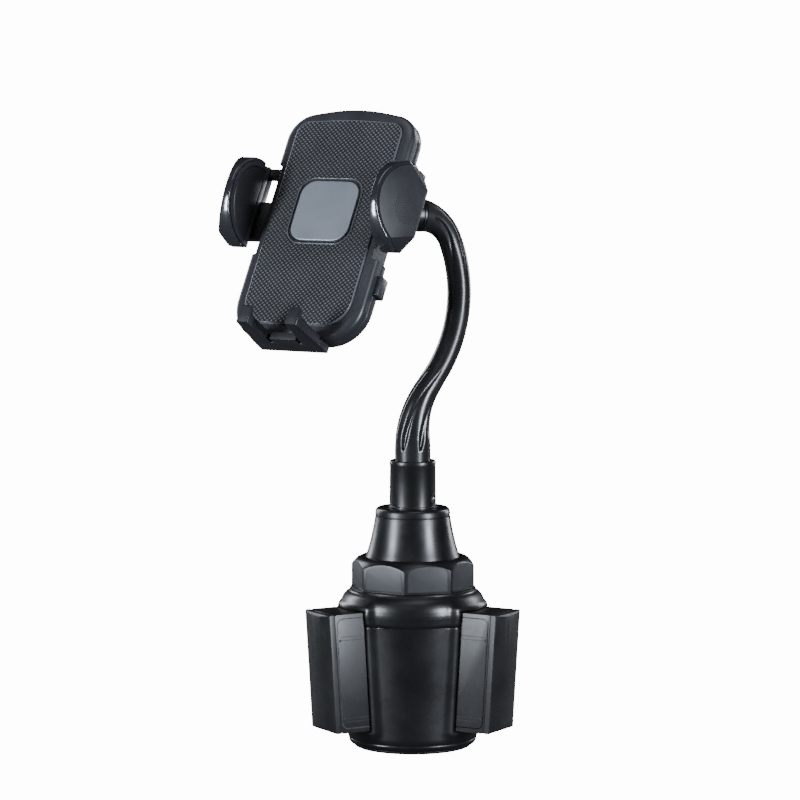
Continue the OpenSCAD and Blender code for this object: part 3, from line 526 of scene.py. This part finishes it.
def side_panel(i, sign):
    """Grey panel on a paddle's side, and the thin proud line that frames it, painted with a highlight."""
    # The framing line carries a painted highlight; the panel is the paddle's own grey.
    panel_highlight_line = bmesh.new()
    outer = [panel_highlight_line.verts.new(mm(x, PADDLE_SIDE * sign, z)) for x, z in panel_outline(0)]
    inner = [panel_highlight_line.verts.new(mm(x, PADDLE_SIDE * sign, z)) for x, z in panel_outline(0.35)]
    for k in range(len(outer)):
        n = (k + 1) % len(outer)
        panel_highlight_line.faces.new((outer[k], outer[n], inner[n], inner[k]))
    bmesh.ops.recalc_face_normals(panel_highlight_line, faces=panel_highlight_line.faces)
    bmesh.ops.solidify(panel_highlight_line, geom=panel_highlight_line.faces, thickness=mm(0.14))
    panel = bmesh.new()
    sunk = (PADDLE_SIDE - 0.04) * sign
    panel.faces.new([panel.verts.new(mm(x, sunk, z)) for x, z in panel_outline(0.7)])
    bmesh.ops.solidify(panel, geom=panel.faces, thickness=mm(0.1))
    where = "left" if sign > 0 else "right"
    for part, bm, finish in (("frame", panel_highlight_line, EDGE_HIGHLIGHT), ("panel", panel, PADDLE_GREY)):
        bmesh.ops.recalc_face_normals(bm, faces=bm.faces)
        piece("paddle_%d_%s_%s" % (i, part, where), bm, finish, "paddle_%d" % i,
              place=paddle_place(i))


def strip(bm, low, high):
    """A thin flat bar between two opposite corners, in millimetres."""
    size = [h - l for l, h in zip(low, high)]
    middle = [(l + h) / 2 for l, h in zip(low, high)]
    made = bmesh.ops.create_cube(bm, size=1.0)
    place = Matrix.Translation(mm(*middle)) @ Matrix.Diagonal((*mm(*size), 1))
    bmesh.ops.transform(bm, matrix=place, verts=made["verts"])


def panel_groove_shades(i):
    """Painted shade of fine paired grooves near the panel's top and bottom: thin dark strips, each pair
    ending in a small dark pit.
    """
    bm = bmesh.new()
    for sign in (-1, 1):
        y0, y1 = sorted(((PADDLE_SIDE - 0.05) * sign, (PADDLE_SIDE + 0.1) * sign))
        for z, short in ((54.9, 1.9), (53.3, 1.3), (17.4, 1.3), (15.9, 1.9)):
            strip(bm, (24.2, y0, z - 0.11), (panel_edge(z) - short, y1, z + 0.11))
        for x, z in ((panel_edge(53.3) - 1.3, 53.3), (panel_edge(17.4) - 1.3, 17.4)):
            dot = bmesh.ops.create_cone(bm, cap_ends=True, segments=16, radius1=mm(0.55), radius2=mm(0.5),
                                        depth=mm(0.3))
            spot = Matrix.Translation(mm(x, PADDLE_SIDE * sign, z)) @ Matrix.Rotation(math.pi / 2, 4, "X")
            bmesh.ops.transform(bm, matrix=spot, verts=dot["verts"])
    return piece("paddle_%d_lines" % i, bm, RECESS_SHADE, "paddle_%d" % i,
                 place=paddle_place(i))


for i in (1, 2, 3):
    softened("paddle_%d_body" % i, "paddle_%d_box" % i, SOFT_BLACK, "paddle_%d" % i, 0.5, 3)
    softened("paddle_%d_rubber" % i, "paddle_%d_pad" % i, SOFT_BLACK, "paddle_%d" % i, 1.2, 5)
    side_panel(i, 1)
    side_panel(i, -1)
    panel_groove_shades(i)


# ---------- neck ----------
LEAN, BEND_Z = 35, 142
ARC_A, STRAIGHT, ARC_B, ARC_C = 39, 8.9, 64, 19
TURN_B, TURN_C = -22, -82


A_END = (ARC_A * (1 - cosine(LEAN)), BEND_Z + ARC_A * sine(LEAN))
S_END = (A_END[0] + STRAIGHT * sine(LEAN), A_END[1] + STRAIGHT * cosine(LEAN))
TOP = (S_END[0] + ARC_B * (1 - cosine(LEAN)), S_END[1] + ARC_B * sine(LEAN))
B_END = (TOP[0] + ARC_B * (cosine(TURN_B) - 1), TOP[1] - ARC_B * sine(TURN_B))
RUNS = [25.0, math.radians(LEAN) * ARC_A, STRAIGHT, math.radians(LEAN) * ARC_B,
        -math.radians(TURN_B) * ARC_B, math.radians(TURN_B - TURN_C) * ARC_C]
STATIONS = [sum(RUNS[:k]) for k in range(7)]


def neck_line(s):
    """(x, z, heading in degrees) of the neck's centre line, s millimetres above its lower end."""
    if s < STATIONS[1]:
        return 0, 117 + s, 0
    if s < STATIONS[2]:
        a = math.degrees((s - STATIONS[1]) / ARC_A)
        return ARC_A * (1 - cosine(a)), BEND_Z + ARC_A * sine(a), a
    if s < STATIONS[3]:
        d = s - STATIONS[2]
        return A_END[0] + d * sine(LEAN), A_END[1] + d * cosine(LEAN), LEAN
    if s < STATIONS[5]:
        a = LEAN - math.degrees((s - STATIONS[3]) / ARC_B)
        return TOP[0] + ARC_B * (cosine(a) - 1), TOP[1] - ARC_B * sine(a), a
    a = TURN_B - math.degrees((s - STATIONS[5]) / ARC_C)
    return B_END[0] + ARC_C * (cosine(a) - cosine(TURN_B)), B_END[1] + ARC_C * (sine(TURN_B) - sine(a)), a


def neck_radius(s):
    lower = max(0.0, 1 - max(0.0, s - STATIONS[1]) / (STATIONS[3] - STATIONS[1]))
    upper = max(0.0, (s - STATIONS[5]) / (STATIONS[6] - STATIONS[5]))
    return 5.5 + 2.7 * lower ** 1.6 + 2.2 * upper ** 1.6


FLUTE_PITCH = math.tau / 6
NECK_SIDES = 84


def flute(s, angle):
    """Depth of the leaf-shaped flutes: round tips near each end, fading out towards the middle."""
    depth = 0.0
    for start, length, step in ((20.5, 40.0, 1), (STATIONS[6] - 4.5, 32.0, -1)):
        t = (s - start) * step / length
        if not 0 < t < 1:
            continue
        width = 0.46 * min(1.0, (t / 0.16)) ** 0.5 * (1 - t) ** 0.5
        twist = angle - 0.9 * t * step
        around = 0.92 * abs((twist / FLUTE_PITCH) % 1 - 0.5) / width
        if around < 0.5:
            depth = max(depth, 0.95 * (1 - t) ** 0.7 * (math.cos(around * math.tau) * 0.5 + 0.5) ** 0.7)
    return depth


def neck_ring(s):
    x, z, heading = neck_line(s)
    points = []
    for k in range(NECK_SIDES):
        a = math.tau * k / NECK_SIDES
        r = neck_radius(s) - flute(s, a)
        c = r * math.cos(a)
        points.append(NECK_PLANE @ mm(x + c * cosine(heading), r * math.sin(a), z - c * sine(heading)))
    return points


def neck_length(name, s0, s1, nodes):
    """One stretch of the neck's skin, lofted along the curved centre line across its hinge, and fixed in
    place.
    """
    count = max(4, round((s1 - s0) / 0.75))
    rings = [neck_ring(s0 + (s1 - s0) * k / count) for k in range(count + 1)]
    obj = piece(name, loft(rings), NECK_SKIN, None, nodes, sharp=60)
    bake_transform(obj)
    return obj


MID_1 = (STATIONS[1] + STATIONS[3]) / 2
MID_2 = (STATIONS[3] + STATIONS[4]) / 2
MID_3 = (STATIONS[4] + STATIONS[5]) / 2
neck_length("neck_skin_low", 0.4, MID_1, ["neck_sleeve_0"])
neck_length("neck_skin_mid_low", MID_1, MID_2, ["neck_sleeve_1"])
neck_length("neck_skin_mid_high", MID_2, MID_3, ["neck_sleeve_2"])
neck_length("neck_skin_high", MID_3, STATIONS[6],
            ["neck_sleeve_3", "neck_sleeve_4"])

STEM = NECK_PLANE @ Matrix.Translation(mm(B_END[0] + ARC_C * (cosine(TURN_C) - cosine(TURN_B)), 0,
                                          B_END[1] + ARC_C * (sine(TURN_B) - sine(TURN_C))))
STEM = STEM @ Matrix.Rotation(math.radians(TURN_C), 4, "Y")
END_COLLAR = [(0, 0.02), (7.2, 0.02), (7.62, 0.25), (7.7, 0.8), (7.62, 1.3), (7.3, 1.55), (7.3, 1.8),
              (7.6, 2.05), (7.55, 6), (7.4, 10.2), (7.1, 12.6), (6.5, 14.6), (5.4, 16.0), (4.4, 16.2),
              (3.7, 16.2), (3.7, 4.2), (0, 4.2)]
piece("neck_end_collar", turn(END_COLLAR, 96, STEM), SATIN_BLACK, "neck_4",
      ["neck_end_cap"], sharp=30)

# ---------- ball joint ----------
softened("ball_housing", "ball_socket", SATIN_BLACK, "cradle", 0.4, 3)
softened("clamp_ring", "clamp_nut", SATIN_BLACK, "clamp", 0.45, 3)


# ---------- cradle ----------
def body_half(i):
    """Right half of the cradle's outline at inset i, with the notch that the arm's fork passes."""
    u, v1, v0 = 33 - i, 53.3 - i, -62.4 + i
    step = min(u, 30.2)
    lower = arc(u - 17, v0 + 17, 17, -90, 0, 16)
    notch = [(u, -24), (u, -22), (step, -21.9), (step, -8), (step, 8), (step, 24.4), (u, 24.5), (u, 27)]
    upper = arc(u - 13, v1 - 2.4 - 13, 13, 0, 78, 12)
    crown = [(x, v1 - 0.006 * x * x) for x in (14, 10, 6, 2)]
    return [(0, v0)] + lower + notch + upper + crown


def body_ring(i, w):
    half = body_half(i)
    points = half + [(-u, v) for u, v in half[:0:-1]]
    return [CRADLE @ mm(u, v, w) for u, v in points]


def pad_points(i):
    u, v1, v0 = 27.2 - i, 46.4 - i, -56 + i
    r1, r0 = max(0.5, 6 - i), max(0.5, 12 - i)
    points = arc(u - r0, v0 + r0, r0, -90, 0, 12) + arc(u - r1, v1 - 1 - r1, r1, 0, 80, 8)
    points += [(x, v1 - 0.003 * x * x) for x in (14, 7, 0, -7, -14)]
    points += arc(-u + r1, v1 - 1 - r1, r1, 100, 180, 8) + arc(-u + r0, v0 + r0, r0, 180, 270, 12)
    return points


def pad_ring(i, w):
    return [CRADLE @ mm(u, v, w) for u, v in pad_points(i)]


def square_points(h, r):
    points = []
    for k, (sx, sy) in enumerate(((1, -1), (1, 1), (-1, 1), (-1, -1))):
        points += arc(sx * (h - r), sy * (h - r), r, -90 + 90 * k, 90 * k, 10)
    return points


def square_ring(h, r, w):
    return [CRADLE @ mm(u, v, w) for u, v in square_points(h, r)]


front_rings = [body_ring(0.25, -6.98), body_ring(0, -6.7), body_ring(0, -4.2), body_ring(0.12, -3.3),
               body_ring(0.5, -2.5), body_ring(1.15, -1.9), body_ring(2.0, -1.5), body_ring(3.2, -1.32),
               body_ring(5.0, -1.3), body_ring(5.6, -1.34)]
piece("cradle_front_frame", loft(front_rings), CHARCOAL, "cradle", ["cradle_front"],
      sharp=38)
back_rings = [body_ring(0.25, -7.04), body_ring(0.05, -7.3), body_ring(0, -9.6), body_ring(0.25, -10.8),
              body_ring(0.9, -12.0), body_ring(1.9, -13.0), body_ring(3.3, -13.7), body_ring(5.2, -14.0)]
piece("cradle_back_shell", loft(back_rings), CHARCOAL, "cradle", ["cradle_back"],
      sharp=38)

# pad: edge line painted with a highlight, and knurl
PAD_EDGE_HIGHLIGHT = [(-0.1, -1.4), (-0.1, -0.5), (-0.03, -0.26), (0.12, -0.18), (0.27, -0.3), (0.34, -0.75)]
piece("grip_pad_edge_highlight", loft([pad_ring(i, w) for i, w in PAD_EDGE_HIGHLIGHT]), EDGE_HIGHLIGHT, "cradle",
      sharp=60)


def cut_to(bm, points, hole=False):
    """Cuts a flat sheet along a convex outline, and keeps its inside, or its outside for a hole."""
    ring = [Vector((u / 1000, v / 1000, 0)) for u, v in points]
    sides = []
    for a, b in zip(ring, ring[1:] + ring[:1]):
        along = b - a
        if along.length < 1e-6:
            continue
        out = Vector((along.y, -along.x, 0)).normalized()
        sides.append((a, out))
        bmesh.ops.bisect_plane(bm, geom=bm.verts[:] + bm.edges[:] + bm.faces[:], plane_co=a, plane_no=out,
                               dist=1e-7, clear_outer=not hole)
    if hole:
        inner = [f for f in bm.faces if all((f.calc_center_median() - a).dot(o) < 0 for a, o in sides)]
        bmesh.ops.delete(bm, geom=inner, context="FACES")


def knurl():
    """Rows of small four-sided points on the diagonal, cut to the pad and round the centre plate."""
    bm = bmesh.new()
    pitch, cells = mm(1.5), 84
    reach_u, reach_v, middle_v = mm(29), mm(54), mm(-5)
    bmesh.ops.create_grid(bm, x_segments=cells, y_segments=cells, size=pitch * cells / 2)
    bmesh.ops.transform(bm, matrix=Matrix.Scale(1.12, 4, (1, 0, 0)) @ Matrix.Rotation(math.pi / 4, 4, "Z"),
                        verts=bm.verts)
    middles = [(f, f.calc_center_median()) for f in bm.faces]
    far = [f for f, c in middles if abs(c.x) > reach_u or abs(c.y - middle_v) > reach_v]
    bmesh.ops.delete(bm, geom=far, context="FACES")
    bmesh.ops.poke(bm, faces=bm.faces, offset=mm(0.55), center_mode="MEAN")
    cut_to(bm, pad_points(0.36))
    cut_to(bm, square_points(16.5, 8), hole=True)
    bmesh.ops.transform(bm, matrix=Matrix.Translation(mm(0, 0, -0.62)), verts=bm.verts)
    bmesh.ops.solidify(bm, geom=bm.faces, thickness=mm(0.5))
    return bm


piece("grip_pad_points", knurl(), GRIP_RUBBER, "cradle", ["grip_pad"], place=CRADLE,
      sharp=12)

# plate: bright rim that is a painted highlight, dark moat that is painted shade, satin plate, each as rows
# of (half width, corner radius, height)
RIM_HIGHLIGHT = [(16.7, 8, -0.9), (16.7, 8, -0.1), (16.55, 7.9, 0.06), (16.35, 7.7, 0.08), (16.2, 7.5, -0.08),
       (16.2, 7.5, -0.8)]
MOAT_SHADE = [(16.25, 7.5, -0.95), (16.25, 7.5, -0.7), (15.6, 7.2, -0.75)]
FACE = [(14.9, 7, -0.85), (14.9, 7, 0.0), (14.8, 6.9, 0.12), (14.6, 6.8, 0.19), (14.2, 6.5, 0.22),
        (12.0, 5.0, 0.22)]
PLATE_PARTS = [("plate_rim", RIM_HIGHLIGHT, EDGE_HIGHLIGHT, []), ("plate_moat", MOAT_SHADE, RECESS_SHADE, []),
               ("plate_face", FACE, PLATE_METAL, ["centre_plate"])]
for name, rows, finish, stands_for in PLATE_PARTS:
    piece(name, loft([square_ring(*row) for row in rows]), finish, "cradle", stands_for,
          sharp=60)


# ---------- arms ----------
def arm_matrix(side):
    return CRADLE @ Matrix.Diagonal((side, 1, 1, 1))


# how far the outer face leans in, for each millimetre forward
CHEEK_SLOPE = 9.4 / 24.5


def dimple_shades(side, body):
    """Painted shade of rows of small pits in an oval on the arm's outer face: flat dark discs."""
    bm = bmesh.new()
    slope = math.atan(CHEEK_SLOPE)
    for row in range(-5, 6):
        for col in range(-8, 9):
            w = 1.1 * row
            v = 1.1 * (col + 0.5 * (row % 2))
            if (w / 5.8) ** 2 + (v / 8.7) ** 2 > 1:
                continue
            at = mm(48.4 - CHEEK_SLOPE * (7 + w) + 0.03, 0.4 + v, 7 + w)
            dot = bmesh.ops.create_cone(bm, cap_ends=True, segments=10, radius1=mm(0.36), radius2=mm(0.3),
                                        depth=mm(0.08))
            turn_out = Matrix.Translation(at) @ Matrix.Rotation(math.pi / 2 - slope, 4, "Y")
            bmesh.ops.transform(bm, matrix=turn_out, verts=dot["verts"])
    bmesh.ops.transform(bm, matrix=arm_matrix(side), verts=bm.verts)
    bmesh.ops.recalc_face_normals(bm, faces=bm.faces)
    return piece(body + "_dimples", bm, RECESS_SHADE, body)


for side, body in ((1, "arm_right"), (-1, "arm_left")):
    softened(body + "_cheek", body + "_frame", ARM_CHARCOAL, body, 0.45, 3)
    softened(body + "_gloss_edge", body + "_trim", GLOSS_TRIM, body, 0.5, 4)
    softened(body + "_grip", body + "_pad", SOFT_BLACK, body, 0.5, 3)
    dimple_shades(side, body)

softened("release_tab", "release_button", CHARCOAL, "button", 0.5, 3)
softened("foot_hooks", "foot_bracket", ARM_CHARCOAL, "foot", 0.45, 3)
softened("foot_tips", "foot_pads", SOFT_BLACK, "foot", 0.3, 3)

# ---------- finishes of the plain nodes that still show ----------
slots = {s["node"]: s["material_slot"] for s in frame["record"]["subparts"]}
for name, node in frame["nodes"].items():
    for spot in node.material_slots:
        spot.material = SLOT_FINISH[slots[name]]


# ---------- floor, light, camera ----------
FLOOR_GLOW = 14.0


def floor():
    """A pale floor that shines white to the camera, so it runs into the backdrop without an edge."""
    bm = bmesh.new()
    bmesh.ops.create_circle(bm, cap_ends=True, segments=96, radius=14)
    mesh = bpy.data.meshes.new("floor")
    bm.to_mesh(mesh)
    bm.free()
    paint = bpy.data.materials.new("pale_floor")
    paint.use_nodes = True
    tree = paint.node_tree
    shader = tree.nodes["Principled BSDF"]
    shader.inputs["Base Color"].default_value = (0.08, 0.082, 0.085, 1)
    shader.inputs["Roughness"].default_value = 0.7
    shader.inputs["Specular IOR Level"].default_value = 0.2
    shader.inputs["Emission Color"].default_value = (1, 1, 1, 1)
    seen = tree.nodes.new("ShaderNodeLightPath").outputs["Is Camera Ray"]
    tree.links.new(math_node(tree, "MULTIPLY", seen, FLOOR_GLOW), shader.inputs["Emission Strength"])
    mesh.materials.append(paint)
    obj = bpy.data.objects.new("floor", mesh)
    scene.collection.objects.link(obj)


def soft_light(name, place, target, size, power, colour=(1, 1, 1)):
    """A rectangular soft box at a place, aimed at a target."""
    light = bpy.data.lights.new(name, "AREA")
    light.shape = "RECTANGLE"
    light.size, light.size_y = size
    light.energy = power
    light.color = colour
    obj = bpy.data.objects.new(name, light)
    obj.location = place
    obj.rotation_euler = (Vector(target) - Vector(place)).to_track_quat("-Z", "Y").to_euler()
    scene.collection.objects.link(obj)


floor()
soft_light("overhead_box", (0.15, -0.35, 1.9), (0, 0, 0.1), (1.2, 1.2), 9)
soft_light("left_strip", (-0.68, -1.34, 0.37), (0, 0, 0.16), (0.20, 0.72), 34, (0.84, 0.90, 1.0))
soft_light("right_strip", (1.46, -0.31, 0.37), (0, 0, 0.16), (0.20, 0.72), 34, (0.84, 0.90, 1.0))
soft_light("front_fill", (0.6, -1.7, 1.3), (0, 0, 0.18), (0.8, 0.5), 1)
soft_light("back_left", (-1.3, 0.4, 0.5), (0, 0, 0.15), (0.25, 0.9), 9, (0.88, 0.93, 1.0))
soft_light("back_right", (0.4, 1.4, 0.5), (0, 0, 0.15), (0.25, 0.9), 9, (0.88, 0.93, 1.0))


def backdrop():
    """White where the camera sees it, and a dim even grey for everything it lights and mirrors in."""
    world = bpy.data.worlds.new("studio")
    world.use_nodes = True
    tree = world.node_tree
    glow = tree.nodes["Background"]
    glow.inputs["Color"].default_value = (0.97, 0.98, 1.0, 1)
    seen = tree.nodes.new("ShaderNodeLightPath").outputs["Is Camera Ray"]
    tree.links.new(remap(tree, seen, 0.0, 1.0, 0.015, FLOOR_GLOW), glow.inputs["Strength"])
    scene.world = world


backdrop()

# a long lens, to the right of the front and a little above
camera = bpy.data.objects.new("camera", bpy.data.cameras.new("camera"))
camera.data.lens = 180
camera.data.sensor_width = 36
camera.data.clip_end = 60
camera.location = (0.9115, -1.5758, 0.3445)
camera.rotation_euler = (math.radians(84.2), 0, math.radians(30.23))
scene.collection.objects.link(camera)
scene.camera = camera

bpy.context.view_layer.update()
